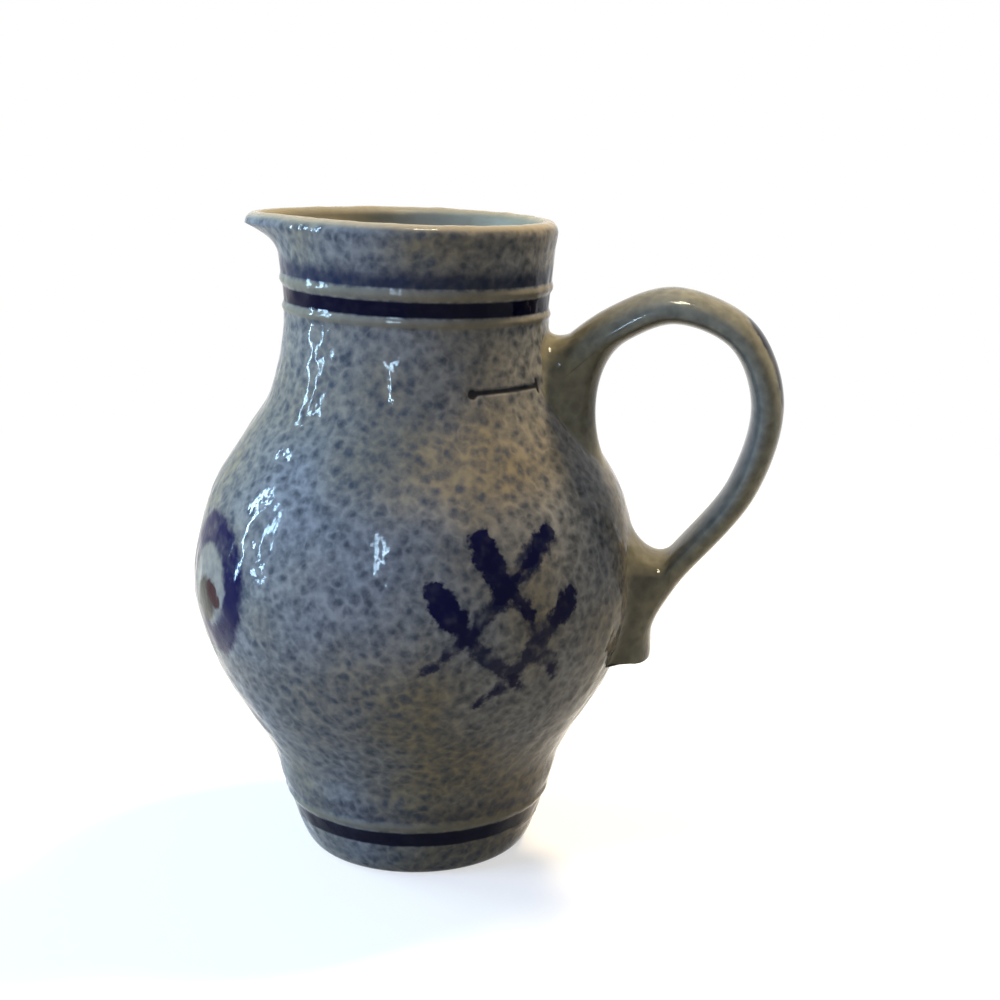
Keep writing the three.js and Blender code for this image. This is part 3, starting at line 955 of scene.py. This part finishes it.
studio = {  # lengths in metres
    "aim": (0.0, 0.0, 0.06),
    "floorRings": (0.1, 0.3, 1.0, 8.0),
    "floorAround": 96,
    "floorColour": "#8f8b80",
    "white": "#ffffff",
    "shadowReach": (0.14, 0.45),  # the floor near the jug shows its shadow, further off it is plain white
    "glowShare": (0.6, 1.0),  # how much of the floor's white is its own there
    "sky": 0.30,
    "skyRise": (0.04, 0.25),  # the sky is white at its foot and has come down to that strength up here
    # name, degrees from the camera (left is minus), elevation, distance, width, height, watts, colour,
    # and whether it is mirrored: windows and bulb show as highlights, the other lamps give the light
    "lamps": (
        ("windowLeft", -100.0, 11.0, 0.80, 0.034, 0.55, 11.5, "#b4deff", True),
        ("windowBeside", -86.0, 14.0, 0.80, 0.040, 0.40, 9.0, "#b4deff", True),
        ("windowFront", -21.0, 19.0, 0.95, 0.032, 0.20, 4.8, "#c0e4ff", True),
        ("bulb", 35.0, 79.0, 0.80, 0.20, 0.14, 18.0, "#fff0cc", True),
        ("coolLeft", -70.0, 25.0, 0.85, 0.40, 0.40, 10.0, "#afceff", False),
        ("coolBehind", -110.0, 25.0, 0.85, 0.40, 0.40, 6.0, "#d6fdf5", False),
        ("warmRight", 121.0, 58.0, 0.85, 0.15, 0.15, 13.8, "#ffe2b4", False),
    ),
}


def makeLamps(s):
    turn = math.radians(photoCamera["turn"])
    for name, azimuth, elevation, distance, width, height, watts, colour, mirrored in s["lamps"]:
        a, e = math.radians(azimuth) + turn, math.radians(elevation)
        light = bpy.data.lights.new(name, "AREA")
        light.shape = "RECTANGLE"
        light.size, light.size_y = width, height
        light.energy = watts
        light.color = hexLinear(colour)[:3]
        lamp = bpy.data.objects.new(name, light)
        back = Vector((math.sin(a) * math.cos(e), -math.cos(a) * math.cos(e), math.sin(e)))
        lamp.location = Vector(s["aim"]) + back * distance
        lamp.rotation_euler = back.to_track_quat("Z", "Y").to_euler()
        lamp.visible_glossy = mirrored
        lamp.visible_diffuse = not mirrored
        bpy.context.scene.collection.objects.link(lamp)


def seenBy(tree):
    # 1 where the camera sees the surroundings, directly, mirrored or through something clear
    seen = addNode(tree, "LightPath", {}, "Is Camera Ray")
    for ray in ("Is Glossy Ray", "Is Transmission Ray"):
        other = addNode(tree, "LightPath", {}, ray)
        seen = addNode(tree, "Math", {0: seen, 1: other}, operation="MAXIMUM")
    return seen


def makeFloor(s):
    # a flat disc: rings round the jug, the outermost far away
    ring = np.linspace(0, 2 * np.pi, s["floorAround"], endpoint=False)
    spread = np.array(s["floorRings"])[:, None] / mm
    disc = np.stack([spread * np.cos(ring), spread * np.sin(ring), 0 * spread * ring], -1)
    floor = gridPiece("floor", disc, (0, 0, 0))
    material = bpy.data.materials.new("pale_floor")
    material.use_nodes = True
    tree = material.node_tree
    tree.nodes.clear()
    # seen it is white, with the shadow near the jug; to the light it is a pale grey floor
    white = hexLinear(s["white"])
    matt = addNode(tree, "BsdfDiffuse", {"Color": hexLinear(s["floorColour"])})
    paper = addNode(tree, "BsdfDiffuse", {"Color": white})
    glow = addNode(tree, "Emission", {"Color": white, "Strength": 1.0})
    place = addNode(tree, "TexCoord", {}, "Object")
    reach = addNode(tree, "VectorMath", {0: place}, "Value", operation="LENGTH")
    near, far = s["shadowReach"]
    least, most = s["glowShare"]
    plain = addNode(
        tree, "MapRange",
        {"Value": reach, "From Min": near, "From Max": far, "To Min": least, "To Max": most},
        interpolation_type="SMOOTHSTEP",
    )
    shown = addNode(tree, "MixShader", {0: plain, 1: paper, 2: glow})
    both = addNode(tree, "MixShader", {0: seenBy(tree), 1: matt, 2: shown})
    addNode(tree, "OutputMaterial", {"Surface": both})
    floor.data.materials.append(material)


def makeSky(s):
    # pale light that is strongest near the floor; seen it is white all round
    world = bpy.data.worlds.new("studio")
    bpy.context.scene.world = world
    world.use_nodes = True
    tree = world.node_tree
    tree.nodes.clear()
    place = addNode(tree, "TexCoord", {}, "Generated")
    up = addNode(tree, "SeparateXYZ", {0: place}, "Z")
    low, high = s["skyRise"]
    sky = addNode(
        tree, "MapRange",
        {"Value": up, "From Min": low, "From Max": high, "To Min": 1.0, "To Max": s["sky"]},
        interpolation_type="SMOOTHSTEP",
    )
    sky = addNode(tree, "Math", {0: sky, 1: seenBy(tree)}, operation="MAXIMUM")
    backdrop = addNode(tree, "Background", {"Color": hexLinear(s["white"]), "Strength": sky})
    addNode(tree, "OutputWorld", {"Surface": backdrop})


makeLamps(studio)
makeFloor(studio)
makeSky(studio)
bpy.context.scene.view_settings.view_transform = "Standard"
print("studio: lamps, floor and sky")
